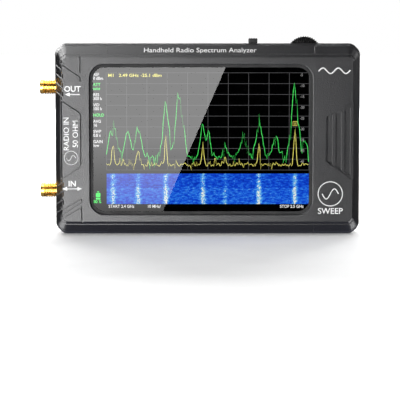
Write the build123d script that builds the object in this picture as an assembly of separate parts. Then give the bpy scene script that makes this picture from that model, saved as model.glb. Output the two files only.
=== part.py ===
"""Handheld spectrum analyzer: a two-shell plastic case with a display window, two coaxial jacks
on the left side, and a slide switch, a thumbwheel and small ports on top.
Millimetres. +X is right seen from the front, -Y is the front, +Z is up, and the origin is the
middle of the bottom face."""

from build123d import *
import math
import os

# Case, outside
body_width = 126.0
body_height = 79.0
body_depth = 20.0
front_shell_depth = 9.0
corner_cut = 3.2
corner_round = 4.2
face_inset_x = 3.4
face_inset_z = 5.75
face_corner_cut = 1.6
face_corner_round = 0.8
shoulder_depth = 4.2
shoulder_share = 0.226
front_bevel_depth = 6.6
rear_inset = 3.0
rear_bevel_depth = 3.0
rear_corner_cut = 2.6
rear_corner_round = 3.2
seam_depth = 0.15
seam_half_width = 0.15

# Case, inside
wall = 2.0
front_wall = 2.0
rear_wall = 2.0
facet_setback = 1.0
inner_round = 0.5
lip_height = 1.0
lip_gap = 0.1

# Lines and panels in the case's surface
line_width = 0.55
line_depth = 0.9
bevel_line_front = 1.05
bevel_line_back = 1.4
bevel_line_cut = 0.5
title_left = -42.0
title_right = 44.0
title_depth = 0.25
title_slant = 1.4

# Rear panel and grooves
rear_panel_width = 86.0
rear_panel_height = 50.0
rear_panel_round = 4.0
rear_panel_depth = 0.3
rear_groove_x = 49.0
rear_groove_pitch = 2.6
rear_groove_width = 1.2
rear_groove_height = 30.0
rear_groove_depth = 0.5

# Display
window_x = -2.6
window_width = 91.3
window_height = 61.8
window_round = 6.0
window_rim = 0.4
window_lip = 0.9
gasket_thickness = 0.3
gasket_reach = 1.25
glass_margin = 1.25
glass_thickness = 1.1
glass_round = 6.4
glass_gap = 0.2
cell_thickness = 1.3
guide_thickness = 1.4
tray_sheet = 0.3
tray_gap = 0.1
tray_setback = 0.2
cell_margin = 0.05
cell_height_cut = 0.2
pad_x = 22.0
pad_z = 22.0
pad_width = 12.0
pad_height = 8.0

# Flexes, from the display and the touch layer to the board's front
flex_thickness = 0.16
flex_bend = 1.9
flex_round = 0.7
flex_above_board = 0.6
flex_reach = 7.0
flex_half_height = 9.0
touch_offset = 0.7
touch_reach = 6.0
touch_half_height = 4.0
connector_height = 1.1
connector_width = 4.0
connector_ear = 1.5

# Main board
board_thickness = 1.6
board_gap = 0.6
board_corner = 4.0
board_rear_offset = -0.4

# Screws
boss_radius = 2.75
boss_inset_x = 5.0
boss_inset_z = 6.2
insert_radius = 1.6
insert_length = 4.0
insert_spare = 0.3
screw_radius = 1.0
screw_hole_gap = 0.15
screw_length = 12.0
screw_head_radius = 1.9
screw_head_height = 1.3
screw_head_gap = 0.25
screw_seat_depth = 4.0
stud_radius = 2.25
stud_right_x = 50.5
stud_right_z = 13.0
stud_gap = 0.3
board_screw_length = 5.0
screw_spare = 0.4
board_head_radius = 1.7
board_head_height = 1.0

# Coaxial jacks, 1/4-36 thread
jack_spacing = 43.0
jack_reach = 6.4
jack_relief = 0.2
jack_thread_radius = 3.175
jack_neck_radius = 2.85
jack_collar_radius = 2.95
jack_collar_length = 1.7
jack_mouth_radius = 2.3
jack_mouth_depth = 1.95
dielectric_radius = 2.05
contact_radius = 0.65
contact_bore_radius = 0.47
contact_bore_depth = 3.0
jack_hole_gap = 0.35
flange_thickness = 2.0
flange_gap = 0.1
flange_room = 0.2
leg_size = 1.0
leg_length = 4.0
leg_offset = 2.6
tail_length = 3.0

# Grip notches beside the jacks
notch_pitch = 3.6
notch_width = 2.2
notch_cut = 0.45
notch_slant = 1.9
notch_offset = 0.7
notch_extra = 2.4
notch_round = 0.3
notch_start = (0.0, 0.0, 0.0, 1.4)

# Ribbed grip on the right
grip_left = 48.6
grip_depth = 0.5
groove_depth = 1.0
groove_width = 2.35
groove_pitch = 3.65
groove_count = 3
groove_first = 50.2
grip_backing = 1.1

# Power switch
power_x = 18.8
power_travel = 3.0
nub_width = 3.7
nub_depth = 2.8
nub_height = 2.1
nub_round = 0.4
nub_groove_width = 0.4
nub_groove_depth = 0.12
nub_groove_pitch = 1.0
slider_gap = 0.4
skirt_thickness = 1.1
skirt_reach = 5.4
skirt_depth = 6.0
skirt_gap = 0.3
lever_size = 1.5
lever_gap = 0.1
prong_thickness = 0.8
prong_length = 1.5
switch_width = 9.0
switch_depth = 4.8
switch_height = 6.8

# Thumbwheel
wheel_x = 40.1
carrier_headroom = 0.35
wheel_radius = 7.6
wheel_thickness = 3.0
wheel_teeth = 46
tooth_depth = 0.35
wheel_gap_x = 0.5
wheel_gap_y = 0.7
press_travel = 0.5
axle_radius = 1.5
axle_gap = 0.05
axle_head_radius = 2.0
axle_head_thickness = 0.5
axle_head_gap = 0.1
carrier_thickness = 1.0
carrier_gap = 0.2
carrier_round = 1.9
carrier_width = 4.0
carrier_tail = 14.2
carrier_side_gap = 0.15
carrier_slack = 0.1
jog_body_width = 10.0
jog_body_depth = 4.0
jog_body_height = 7.5

# Ports on top
usb_x = -26.0
usb_width = 8.94
usb_depth = 3.16
usb_length = 7.3
usb_round = 1.2
usb_sheet = 0.3
usb_setback = 0.5
tongue_width = 6.7
tongue_thickness = 0.7
tongue_length = 4.5
tongue_base = 1.5
port_gap = 0.25
card_x = -2.0
card_socket_width = 14.0
card_socket_depth = 1.9
card_socket_length = 15.0
card_width = 11.4
card_slot_depth = 1.0
card_floor = 1.5
audio_x = -45.0
audio_bore_radius = 1.8
audio_collar_radius = 2.5
audio_collar_gap = 0.2
audio_body = 5.6
audio_length = 11.5
audio_setback = 0.3
audio_floor = 1.0
lamp_x = -14.0
lamp_radius = 1.0
lanyard_slot = 5.2
lanyard_width = 2.6
lanyard_inset = 7.0
lanyard_side_z = 16.5

# Battery and board parts
battery_x = -8.0
battery_z = 33.0
battery_width = 78.0
battery_height = 50.0
battery_thickness = 4.4
battery_round = 1.8
pad_thickness = 0.5
battery_pad_width = 60.0
battery_pad_height = 36.0
lead_radius = 0.5
lead_pitch = 2.5
shield_width = 24.0
shield_height = 18.0
shield_depth = 2.6
shield_sheet = 0.25
shield_left = 9.0
shield_gap = 0.15
socket_gap = 0.1

front_y = -body_depth / 2
rear_y = body_depth / 2
parting_y = front_y + front_shell_depth
mid_z = body_height / 2
half_width = body_width / 2
inner_x = half_width - wall
inner_top = body_height - wall
shoulder_y = front_y + shoulder_depth
bevel_back_y = front_y + front_bevel_depth
facet_x = face_inset_x * (1 - shoulder_share)
facet_z = face_inset_z * (1 - shoulder_share)
rear_bevel_y = rear_y - rear_bevel_depth
board_rear_y = parting_y + board_rear_offset
board_front_y = board_rear_y - board_thickness
board_half = inner_x - board_gap
board_top = inner_top - board_gap
board_bottom = wall + board_gap
lip_y = front_y + window_lip
glass_front_y = lip_y + gasket_thickness
glass_rear_y = glass_front_y + glass_thickness
glass_width = window_width + 2 * glass_margin
glass_height = window_height + 2 * glass_margin
cell_rear_y = glass_rear_y + cell_thickness
guide_rear_y = cell_rear_y + guide_thickness
tray_rear_y = guide_rear_y + tray_sheet
cell_width = window_width + 2 * cell_margin
cell_height = window_height + 2 * cell_margin - cell_height_cut
cell_left = window_x - cell_width / 2
cell_right = window_x + cell_width / 2
boss_x = inner_x - boss_inset_x
boss_low_z = wall + boss_inset_z - 0.2
boss_high_z = inner_top - boss_inset_z + 0.2
stud_left_x = cell_left - touch_offset - flex_bend - stud_gap - stud_radius
jack_low_z = mid_z - jack_spacing / 2
jack_high_z = mid_z + jack_spacing / 2
audio_bottom = inner_top - socket_gap - audio_length
shield_high_z = audio_bottom - shield_gap - shield_height / 2
wheel_z = inner_top - carrier_headroom - carrier_round
wheel_front_y = parting_y - wheel_thickness / 2
wheel_rear_y = parting_y + wheel_thickness / 2
carrier_front_y = wheel_rear_y + carrier_gap
carrier_rear_y = carrier_front_y + carrier_thickness
jog_body_top = wheel_z - wheel_radius - press_travel - 0.5
skirt_top = inner_top - skirt_gap
skirt_bottom = skirt_top - skirt_thickness
lever_y = board_rear_y + 3.3


def block(x, y, z):
    """Box between pairs of coordinates."""
    size = [high - low for low, high in (x, y, z)]
    middle = [(high + low) / 2 for low, high in (x, y, z)]
    return Pos(*middle) * Box(*size)


def rod_x(radius, x, y, z):
    return Pos((x[0] + x[1]) / 2, y, z) * Rot(0, 90, 0) * Cylinder(radius, x[1] - x[0])


def rod_y(radius, y, x, z):
    return Pos(x, (y[0] + y[1]) / 2, z) * Rot(90, 0, 0) * Cylinder(radius, y[1] - y[0])


def rod_z(radius, z, x, y):
    return Pos(x, y, (z[0] + z[1]) / 2) * Cylinder(radius, z[1] - z[0])


def at_depth(sketch, y):
    """Stands a sketch up facing the front, at a depth."""
    return Pos(0, y, 0) * (Plane.XZ * sketch)


def slab(sketch, y):
    """Upright plate between two depths."""
    return extrude(at_depth(sketch, y[1]), amount=y[1] - y[0])


def taper(front, rear, y):
    """Straight-sided transition between two outlines."""
    return loft([at_depth(front, y[0]), at_depth(rear, y[1])], ruled=True)


def column(sketch, z):
    """Upright column between two heights, from a sketch in plan."""
    return extrude(Pos(0, 0, z[0]) * sketch, amount=z[1] - z[0])


def panel(width, height, rounding):
    """Rounded rectangle on the display's centre."""
    return Pos(window_x, mid_z) * RectangleRounded(width, height, rounding)


def octagon(inset_x, inset_z, cut, rounding):
    """Case outline with cut and rounded corners, drawn in from the largest section."""
    half_x = half_width - inset_x
    half_z = mid_z - inset_z
    right = [(half_x, cut - half_z), (half_x, half_z - cut), (half_x - cut, half_z)]
    left = [(cut - half_x, half_z), (-half_x, half_z - cut), (-half_x, cut - half_z)]
    bottom = [(cut - half_x, -half_z), (half_x - cut, -half_z)]
    shape = make_face(Polyline(*right, *left, *bottom, close=True))
    return Pos(0, mid_z) * fillet(shape.vertices(), rounding)


def inset_share(depth):
    """Share of the face's inset left at a depth: a broad facet, a shoulder, then a steeper facet."""
    if depth < shoulder_depth:
        return 1 - (1 - shoulder_share) * depth / shoulder_depth
    return shoulder_share * max(0.0, front_bevel_depth - depth) / (front_bevel_depth - shoulder_depth)


def front_outline(depth, inward=0.0):
    """Outer section at a depth behind the front face."""
    share = inset_share(depth)
    cut = corner_cut + (face_corner_cut - corner_cut) * share
    rounding = corner_round + (face_corner_round - corner_round) * share
    return octagon(face_inset_x * share + inward, face_inset_z * share + inward, cut, rounding)


def inner_outline(inset_x, inset_z, outer_cut, thickness=wall):
    """Inner section one wall inside an outer one."""
    cut = outer_cut - (2 - math.sqrt(2)) * thickness
    return octagon(inset_x + thickness, inset_z + thickness, cut, inner_round)


def front_inner(depth):
    """Inner section at a depth, set back so that the wall stays thick across the facets."""
    share = inset_share(depth - facet_setback)
    cut = corner_cut + (face_corner_cut - corner_cut) * share
    return inner_outline(face_inset_x * share, face_inset_z * share, cut)


def front_block():
    """Solid outside of the front shell, with the fine line around its bevel and half the seam."""
    line_front = front_y + bevel_line_front
    line_back = front_y + bevel_line_back
    seam_y = parting_y - seam_half_width
    side, shoulder = front_outline(front_bevel_depth), front_outline(shoulder_depth)
    whole = slab(front_outline(front_bevel_depth, seam_depth), (seam_y, parting_y))
    whole += slab(side, (bevel_back_y, seam_y))
    whole += taper(shoulder, side, (shoulder_y, bevel_back_y))
    whole += taper(front_outline(bevel_line_back), shoulder, (line_back, shoulder_y))
    whole += slab(front_outline(bevel_line_front, bevel_line_cut), (line_front, line_back))
    whole += taper(front_outline(0), front_outline(bevel_line_front), (front_y, line_front))
    return whole


def front_hollow():
    """Room inside the front shell, which follows its facets."""
    depths = [front_wall, shoulder_depth + facet_setback, front_bevel_depth + facet_setback]
    hollow = slab(front_inner(depths[-1]), (front_y + depths[-1], parting_y + 1))
    for near, far in zip(depths, depths[1:]):
        hollow += taper(front_inner(near), front_inner(far), (front_y + near, front_y + far))
    return hollow


def rear_block():
    """Solid outside of the rear shell, with the other half of the seam."""
    side = octagon(0, 0, corner_cut, corner_round)
    seam_y = parting_y + seam_half_width
    whole = slab(octagon(seam_depth, seam_depth, corner_cut, corner_round), (parting_y, seam_y))
    whole += slab(side, (seam_y, rear_bevel_y))
    back = octagon(rear_inset, rear_inset, rear_corner_cut, rear_corner_round)
    return whole + taper(side, back, (rear_bevel_y, rear_y))


def rear_hollow():
    share = 1 - rear_wall / rear_bevel_depth
    cut = corner_cut + (rear_corner_cut - corner_cut) * share
    far = inner_outline(0, 0, corner_cut)
    near = inner_outline(rear_inset * share, rear_inset * share, cut)
    hollow = slab(far, (parting_y - 1, rear_bevel_y))
    return hollow + taper(far, near, (rear_bevel_y, rear_y - rear_wall))


def lip(gap, height):
    """Ring that locates the two shells, half a wall thick."""
    outer = inner_outline(0, 0, corner_cut, wall / 2 - gap)
    inner = inner_outline(0, 0, corner_cut)
    return slab(outer, (parting_y, parting_y + height)) - slab(inner, (parting_y - 1, parting_y + height + 1))


def case_bosses():
    """Places of the four case screws."""
    return [(x, z) for x in (-boss_x, boss_x) for z in (boss_low_z, boss_high_z)]


def board_studs():
    """Places of the two screws that hold the board to the front shell."""
    return [(stud_left_x, mid_z), (stud_right_x, stud_right_z)]


def jacks():
    """Heights of the two coaxial jacks."""
    return {"sma_input": jack_low_z, "sma_cal": jack_high_z}


def shields():
    """Heights of the two metal cans: one just below the audio socket, and its mirror image."""
    return {"shield_input": 2 * mid_z - shield_high_z, "shield_cal": shield_high_z}


def usb_profile(grow):
    width, depth = usb_width + 2 * grow, usb_depth + 2 * grow
    return Pos(usb_x, board_rear_y + usb_depth / 2) * RectangleRounded(width, depth, usb_round + grow)


def wall_openings():
    """Holes through the case walls for jacks, switches, ports and the wrist cord."""
    through_top = (inner_top - 0.5, body_height + 1)
    holes = [rod_x(jack_thread_radius + jack_hole_gap, (-half_width - 1, -inner_x + 0.5), parting_y, z)
             for z in jacks().values()]
    half_nub = nub_width / 2 + slider_gap
    nub_y = (parting_y - nub_depth / 2 - skirt_gap, parting_y + nub_depth / 2 + skirt_gap)
    holes.append(block((power_x - power_travel - half_nub, power_x + half_nub), nub_y, through_top))
    reach = wheel_radius + wheel_gap_x
    wheel_y = (wheel_front_y - wheel_gap_y, wheel_rear_y + wheel_gap_y)
    holes.append(block((wheel_x - reach, wheel_x + reach), wheel_y, through_top))
    holes.append(column(usb_profile(port_gap), through_top))
    half_card = card_width / 2 + port_gap
    card_y = board_rear_y + card_socket_depth / 2
    half_slot = card_slot_depth / 2 + port_gap
    slot_y = (card_y - half_slot, card_y + half_slot)
    holes.append(block((card_x - half_card, card_x + half_card), slot_y, through_top))
    audio_y = board_rear_y + audio_body / 2
    holes.append(rod_z(audio_collar_radius + audio_collar_gap, through_top, audio_x, audio_y))
    holes.append(rod_z(lamp_radius, through_top, lamp_x, parting_y + lamp_radius + 0.3))
    cord_y = (parting_y - lanyard_width / 2, parting_y + lanyard_width / 2)
    cord_x = half_width - lanyard_inset
    holes.append(block((cord_x - lanyard_slot / 2, cord_x + lanyard_slot / 2), cord_y, through_top))
    cord_z = body_height - lanyard_side_z
    holes.append(block((inner_x - 0.5, half_width + 1), cord_y, (cord_z, cord_z + lanyard_slot)))
    return holes


def grip_notches():
    """Slanted finger notches in the left bevel, mirrored above and below the middle."""
    slope = math.degrees(math.atan2(shoulder_depth, facet_x))
    length = math.hypot(shoulder_depth, facet_x)
    slant = math.degrees(math.atan2(notch_slant, length))
    notches = []
    for side in (-1, 1):
        for index, start in enumerate(notch_start):
            bar = Pos(start / 2, 0, 0) * Box(length + notch_extra - start, 2 * notch_cut, notch_width)
            bar = Rot(0, -slant, 0) * fillet(bar.edges().filter_by(Axis.X), notch_round)
            z = jack_spacing / 2 + notch_offset + (index - 1) * notch_pitch + notch_slant / 2
            bar = Rot(0, 0, 180 - slope) * (bar if side > 0 else mirror(bar, Plane.XY))
            middle_x = -half_width + face_inset_x - facet_x / 2
            notches.append(Pos(middle_x, front_y + shoulder_depth / 2, mid_z + side * z) * bar)
    return notches


def face_lines():
    """Fine grooves on the left of the front face, joined at round or sharp corners."""
    left = -half_width + face_inset_x - 0.6
    top = body_height - face_inset_z
    bottom = face_inset_z
    lane = -half_width + 11.0
    paths = [Polyline((lane, top + 0.6), (lane, top - 6.2)),
             Polyline((left, top - 2.5), (lane, top - 8.0), (lane, top - 9.8))]
    middle = [(left, mid_z + 16.3), (lane + 0.1, mid_z + 11.0),
              (lane + 0.1, mid_z - 11.0), (left, mid_z - 16.2)]
    paths.append(FilletPolyline(*middle, radius=2.5))
    paths.append(Polyline((left, bottom + 4.6), (lane + 0.2, bottom + 9.6), (lane + 0.5, bottom + 8.3),
                          (left, bottom + 2.7)))
    paths.append(Polyline((left, bottom + 1.1), (lane + 0.2, bottom + 6.1), (lane + 0.45, bottom - 0.6)))
    return [slab(trace(path, line_width), (front_y - 1, front_y + line_depth)) for path in paths]


def grip_cuts():
    """Sunken panel at the right edge with three upright grooves."""
    edge = half_width - face_inset_x
    right = half_width + 1
    top = [(grip_left, mid_z + 9.2), (grip_left + 0.8, mid_z + 9.8),
           (edge - 0.9, mid_z + 15.4), (right, mid_z + 15.4)]
    bottom = [(right, mid_z - 16.2), (edge - 0.9, mid_z - 16.2), (edge - 3.0, mid_z - 14.3),
              (grip_left + 2.4, mid_z - 10.7), (grip_left, mid_z - 8.7)]
    cuts = [slab(make_face(Polyline(*top, *bottom, close=True)), (front_y - 1, front_y + grip_depth))]
    floor = front_y + grip_depth + groove_depth
    for index in range(groove_count):
        x = groove_first + index * groove_pitch
        sides = (x - groove_width / 2, x + groove_width / 2)
        tops = [(side, mid_z + 9.9 + 0.36 * (side - groove_first)) for side in sides]
        ends = [(side, mid_z - 9.7 - 0.6 * (side - groove_first)) for side in reversed(sides)]
        cuts.append(slab(make_face(Polyline(*tops, *ends, close=True)), (front_y - 1, floor)))
    return cuts


def flange_rooms():
    """Recesses inside the front shell for the jacks' flanges."""
    half = jack_thread_radius + flange_room
    x = (-inner_x, -inner_x + flange_thickness + 2 * flange_room)
    return [block(x, (parting_y - half, parting_y), (z - half, z + half)) for z in jacks().values()]


def title_panels():
    """Shallow panels in the middle of the top and bottom bevels, which run out over the shoulder."""
    slope = math.hypot(facet_z, shoulder_depth)
    across, along = facet_z / slope * title_depth, shoulder_depth / slope * title_depth
    rise = facet_z / shoulder_depth
    low_y, high_y = front_y + bevel_line_back, bevel_back_y
    low_z = -face_inset_z + rise * bevel_line_back
    high_z = -face_inset_z + rise * front_bevel_depth
    floor = [(low_y + across, low_z - along), (high_y + across, high_z - along)]
    profile = make_face(Polyline(*floor, (high_y, high_z + 1), (low_y, high_z + 1), close=True))
    plate = extrude(Plane.YZ * profile, amount=title_right - title_left)
    corner = make_face(Polyline((0, -face_inset_z), (title_slant, -face_inset_z), (0, high_z), close=True))
    plate -= slab(corner, (front_y - 1, parting_y))
    upper = Pos(title_left, 0, body_height) * plate
    return [upper, mirror(upper, Plane.XY.offset(mid_z))]


def rear_cuts():
    """Shallow label panel and finger grooves in the rear face."""
    panel_face = Pos(0, mid_z) * RectangleRounded(rear_panel_width, rear_panel_height, rear_panel_round)
    cuts = [slab(panel_face, (rear_y - rear_panel_depth, rear_y + 1))]
    groove = RectangleRounded(rear_groove_width, rear_groove_height, rear_groove_width * 0.45)
    for side in (-1, 1):
        for index in range(3):
            x = side * (rear_groove_x + index * rear_groove_pitch)
            cuts.append(slab(Pos(x, mid_z) * groove, (rear_y - rear_groove_depth, rear_y + 1)))
    return cuts


def front_shell():
    shell = front_block() - front_hollow()
    shell -= slab(panel(window_width, window_height, window_round), (front_y - 1, front_y + front_wall + 1))
    rim = [edge for edge in shell.edges().filter_by_position(Axis.Y, front_y - 0.01, front_y + 0.01)
           if abs(edge.center().X - window_x) < window_width / 2 + 0.1
           and abs(edge.center().Z - mid_z) < window_height / 2 + 0.1]
    shell = fillet(rim, window_rim)
    pocket = panel(glass_width + 2 * glass_gap, glass_height + 2 * glass_gap, glass_round + glass_gap)
    shell -= slab(pocket, (lip_y, front_y + front_wall + 1))
    backing = (front_y + front_wall - 0.3, front_y + front_wall + grip_backing)
    shell += block((grip_left - 1, half_width - face_inset_x - 0.8), backing, (mid_z - 18, mid_z + 16.5))
    shell += lip(0, lip_height)
    for x, z in case_bosses():
        shell += rod_y(boss_radius, (front_y + front_wall - 0.3, board_front_y), x, z)
        shell -= rod_y(insert_radius, (board_front_y - insert_length - insert_spare, board_front_y), x, z)
    for x, z in board_studs():
        shell += rod_y(stud_radius, (front_y + front_wall - 0.3, board_front_y), x, z)
        bottom = board_rear_y - board_screw_length - screw_spare
        shell -= rod_y(screw_radius, (bottom, board_front_y), x, z)
    for cut in wall_openings() + flange_rooms() + grip_cuts():
        shell -= cut
    for cut in face_lines() + title_panels() + grip_notches():
        shell -= cut
    return shell


def rear_shell():
    shell = rear_block() - rear_hollow()
    shell -= lip(lip_gap, lip_height + lip_gap) + Pos(0, -0.5, 0) * lip(lip_gap, 0.6)
    for x, z in case_bosses():
        shell += rod_y(boss_radius, (board_rear_y, rear_y - rear_wall + 0.3), x, z)
    for x, z in case_bosses():
        shell += rod_y(boss_radius + 1.0, (rear_y - screw_seat_depth - 1.5, rear_y - rear_wall + 0.3), x, z)
        shell -= rod_y(screw_radius + screw_hole_gap, (board_rear_y - 1, rear_y + 1), x, z)
        shell -= rod_y(screw_head_radius + screw_head_gap, (rear_y - screw_seat_depth, rear_y + 1), x, z)
    for cut in wall_openings() + rear_cuts():
        shell -= cut
    return shell


def screw(seat_y, length, head_radius, head_height, x, z):
    """Cross-head screw pointing to the front, with its head's underside at seat_y."""
    body = rod_y(head_radius, (seat_y, seat_y + head_height), x, z)
    body = fillet(body.edges().sort_by(Axis.Y)[-1], head_height * 0.35)
    body += rod_y(screw_radius, (seat_y - length, seat_y), x, z)
    arm, slot = head_radius * 0.6, 0.22
    depth = (seat_y + head_height * 0.4, seat_y + head_height + 1)
    body -= block((x - arm, x + arm), depth, (z - slot, z + slot))
    return body - block((x - slot, x + slot), depth, (z - arm, z + arm))


def case_screws():
    seat = rear_y - screw_seat_depth
    return [screw(seat, screw_length, screw_head_radius, screw_head_height, x, z)
            for x, z in case_bosses()]


def threaded_inserts():
    inserts = []
    for x, z in case_bosses():
        body = rod_y(insert_radius, (board_front_y - insert_length, board_front_y), x, z)
        inserts.append(body - rod_y(screw_radius, (front_y, rear_y), x, z))
    return inserts


def board_screws():
    return [screw(board_rear_y, board_screw_length, board_head_radius, board_head_height, x, z)
            for x, z in board_studs()]


def glass_gasket():
    """Black foam ring around the glass, which shows as a dark frame inside the window."""
    width, height = window_width - 2 * gasket_reach, window_height - 2 * gasket_reach
    inner = panel(width, height, window_round - gasket_reach)
    ring = slab(panel(glass_width, glass_height, glass_round), (lip_y, glass_front_y))
    return ring - slab(inner, (lip_y - 1, glass_front_y + 1))


def cover_glass():
    return slab(panel(glass_width, glass_height, glass_round), (glass_front_y, glass_rear_y))


def lcd_cell():
    return slab(panel(cell_width, cell_height, 0.5), (glass_rear_y, cell_rear_y))


def light_guide():
    return slab(panel(cell_width, cell_height, 0.5), (cell_rear_y, guide_rear_y))


def flex_notch():
    """Gap in the tray wall that the display's flex passes through."""
    half = flex_half_height + 1
    y = (glass_rear_y, guide_rear_y - 0.2)
    return block((cell_right - 1, cell_right + 2), y, (mid_z - half, mid_z + half))


def backlight_tray():
    inside = panel(cell_width + 2 * tray_gap, cell_height + 2 * tray_gap, 0.6)
    grow = 2 * (tray_gap + tray_sheet)
    outside = panel(cell_width + grow, cell_height + grow, 0.9)
    tray = slab(outside, (glass_rear_y + tray_setback, tray_rear_y))
    return tray - slab(inside, (front_y, guide_rear_y)) - flex_notch()


def display_pads():
    """Foam strips between the display and the board."""
    y = (tray_rear_y, board_front_y)
    pad = block((-pad_width / 2, pad_width / 2), y, (-pad_height / 2, pad_height / 2))
    return [Pos(window_x + x, 0, mid_z + z) * pad for x in (-pad_x, pad_x) for z in (-pad_z, pad_z)]


def flex_strip(edge_x, side, reach, half_height, start_y):
    """Flex that turns back from the display's edge to a connector on the board's front."""
    bend_x = edge_x + side * flex_bend
    end_x = edge_x - side * reach
    end_y = board_front_y - flex_above_board
    points = [(edge_x, start_y), (bend_x, start_y), (bend_x, end_y), (end_x, end_y)]
    strip = trace(FilletPolyline(*points, radius=flex_round), flex_thickness)
    return Pos(0, 0, mid_z - half_height) * extrude(strip, amount=2 * half_height)


def display_flex():
    return flex_strip(cell_right, 1, flex_reach, flex_half_height, cell_rear_y - 0.4)


def touch_flex():
    start_y = glass_rear_y + flex_thickness / 2
    return flex_strip(cell_left - touch_offset, -1, touch_reach, touch_half_height, start_y)


def fpc_connectors():
    """Two connectors on the board's front that take the flexes."""
    right = cell_right - flex_reach
    left = cell_left - touch_offset + touch_reach
    ends = [((right - connector_width, right), flex_half_height),
            ((left, left + connector_width), touch_half_height)]
    y = (board_front_y - connector_height, board_front_y)
    return [block(x, y, (mid_z - half - connector_ear, mid_z + half + connector_ear)) for x, half in ends]


def jack_notches():
    """Board edge cut-outs for the jacks' flanges."""
    flange_rear = -inner_x + flange_gap + flange_thickness
    half = jack_thread_radius + 0.3
    return [block((-half_width, flange_rear + 0.1), (front_y, rear_y), (z - half, z + half))
            for z in jacks().values()]


def main_board():
    width, height = board_half, (board_top - board_bottom) / 2
    outline = chamfer(Rectangle(2 * width, 2 * height).vertices(), board_corner)
    board = slab(Pos(0, (board_top + board_bottom) / 2) * outline, (board_front_y, board_rear_y))
    for notch in jack_notches():
        board -= notch
    reach = wheel_radius + 0.6
    board -= block((wheel_x - reach, wheel_x + reach), (front_y, rear_y), (jog_body_top, body_height))
    slider = (power_x - power_travel - skirt_reach - 0.4, power_x + skirt_reach + 0.4)
    board -= block(slider, (front_y, rear_y), (skirt_bottom - 0.5, body_height))
    for x, z in case_bosses() + board_studs():
        board -= rod_y(screw_radius + screw_hole_gap, (front_y, rear_y), x, z)
    return board


def shield(z):
    """Thin metal can over radio parts, open towards the board."""
    left = -inner_x + shield_left
    x = (left, left + shield_width)
    y = (board_rear_y, board_rear_y + shield_depth)
    outer = block(x, y, (z - shield_height / 2, z + shield_height / 2))
    outer = fillet(outer.edges().filter_by(Axis.Y), 1.0)
    half = shield_height / 2 - shield_sheet
    inside = (x[0] + shield_sheet, x[1] - shield_sheet)
    return outer - block(inside, (y[0], y[1] - shield_sheet), (z - half, z + half))


def chip(x, z, width, height, thickness):
    body = block((x - width / 2, x + width / 2), (board_rear_y, board_rear_y + thickness),
                 (z - height / 2, z + height / 2))
    return chamfer(body.faces().sort_by(Axis.Y)[-1].edges(), 0.15)


def rf_chips():
    x = -inner_x + shield_left + shield_width / 2
    return [chip(x + shift, z, 5, 5, 0.9) for z in shields().values() for shift in (-6, 5)]


def logic_chips():
    return [chip(14, mid_z - 2, 12, 12, 1.4), chip(-2, mid_z + 4, 6, 5, 1.2), chip(14, mid_z - 16, 7, 7, 0.9)]


def power_coils():
    return [chip(wheel_x + shift, mid_z + 4, 5, 5, 2.2) for shift in (-3.5, 3.5)]


def reference_oscillator():
    return chip(-22, mid_z, 5.0, 3.2, 1.5)


def sma_body(z):
    """Threaded barrel, flange and four legs that straddle the board."""
    tip = -half_width - jack_reach
    flange_front = -inner_x + flange_gap
    flange_rear = flange_front + flange_thickness
    collar_end = tip + jack_collar_length
    body = rod_x(jack_collar_radius, (tip, collar_end), parting_y, z)
    thread_end = -half_width - jack_relief
    body += rod_x(jack_thread_radius, (collar_end, thread_end), parting_y, z)
    body += rod_x(jack_neck_radius, (thread_end, flange_front), parting_y, z)
    side = jack_thread_radius
    body += block((flange_front, flange_rear), (parting_y - side, parting_y + side), (z - side, z + side))
    body -= rod_x(jack_mouth_radius, (tip - 1, tip + jack_mouth_depth), parting_y, z)
    body -= rod_x(dielectric_radius, (tip, flange_rear + 1), parting_y, z)
    for leg_y in ((board_rear_y, board_rear_y + leg_size), (board_front_y - leg_size, board_front_y)):
        for offset in (-leg_offset, leg_offset):
            height = (z + offset - leg_size / 2, z + offset + leg_size / 2)
            body += block((flange_rear - 0.1, flange_rear + leg_length), leg_y, height)
    return body


def sma_dielectric(z):
    reach = (-half_width - jack_reach + jack_mouth_depth, -inner_x + flange_gap + flange_thickness)
    return rod_x(dielectric_radius, reach, parting_y, z) - rod_x(contact_radius, reach, parting_y, z)


def sma_contact(z):
    """Socket contact with a tail that lies on the board."""
    front = -half_width - jack_reach + jack_mouth_depth
    rear = -inner_x + flange_gap + flange_thickness
    body = rod_x(contact_radius, (front, rear), parting_y, z)
    body -= rod_x(contact_bore_radius, (front - 1, front + contact_bore_depth), parting_y, z)
    return body + rod_x(-board_rear_offset, (rear - 0.1, rear + tail_length), parting_y, z)


def usb_shell():
    z = (body_height - usb_setback - usb_length, body_height - usb_setback)
    return column(usb_profile(0), z) - column(usb_profile(-usb_sheet), (z[0] - 1, z[1] + 1))


def usb_tongue():
    """Insulator block that closes the receptacle's back, with its flat tongue."""
    bottom = body_height - usb_setback - usb_length
    y = board_rear_y + usb_depth / 2
    half, thin = tongue_width / 2, tongue_thickness / 2
    base = bottom + tongue_base
    tongue = block((usb_x - half, usb_x + half), (y - thin, y + thin), (bottom + 1, base + tongue_length))
    return column(usb_profile(-usb_sheet), (bottom, base)) + tongue


def microsd_socket():
    top = inner_top - socket_gap
    y = (board_rear_y, board_rear_y + card_socket_depth)
    half, half_card = card_socket_width / 2, card_width / 2
    middle = (y[0] + y[1]) / 2
    body = block((card_x - half, card_x + half), y, (top - card_socket_length, top))
    slot = (middle - card_slot_depth / 2, middle + card_slot_depth / 2)
    floor = top - card_socket_length + card_floor
    return body - block((card_x - half_card, card_x + half_card), slot, (floor, top + 1))


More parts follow.
